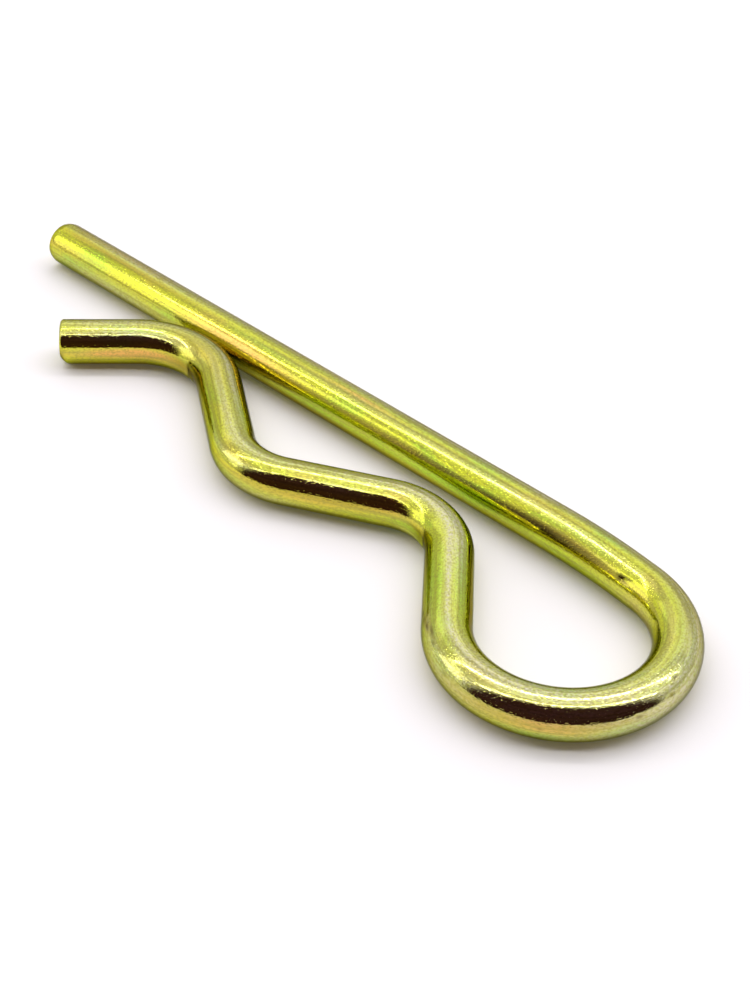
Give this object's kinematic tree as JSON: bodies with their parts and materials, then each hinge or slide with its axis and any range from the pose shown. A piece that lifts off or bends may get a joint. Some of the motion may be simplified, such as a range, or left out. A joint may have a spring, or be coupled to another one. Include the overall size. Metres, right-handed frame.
{
  "type": "hitch r clip pin",
  "caption": "Hitch R clip pin bent from round spring-steel wire: a straight leg for a shaft's cross hole, a waved leg that grips the shaft, and a round bow to pull it by.",
  "frame": {"origin": "on the straight leg's axis, at the middle of the shaft that the clip grips", "axes": "+X along the straight leg to its tip, +Y from the leg to the shaft seat of the waved leg, +Z along the shaft, square to the wire's plane"},
  "size_m": [0.0794, 0.022, 0.004],
  "materials": {
    "plated_wire": "yellow zinc plated, glossy with fine lengthwise drawing lines"
  },
  "bodies": {
    "root": {"wire": "plated_wire"}
  },
  "joints": []
}
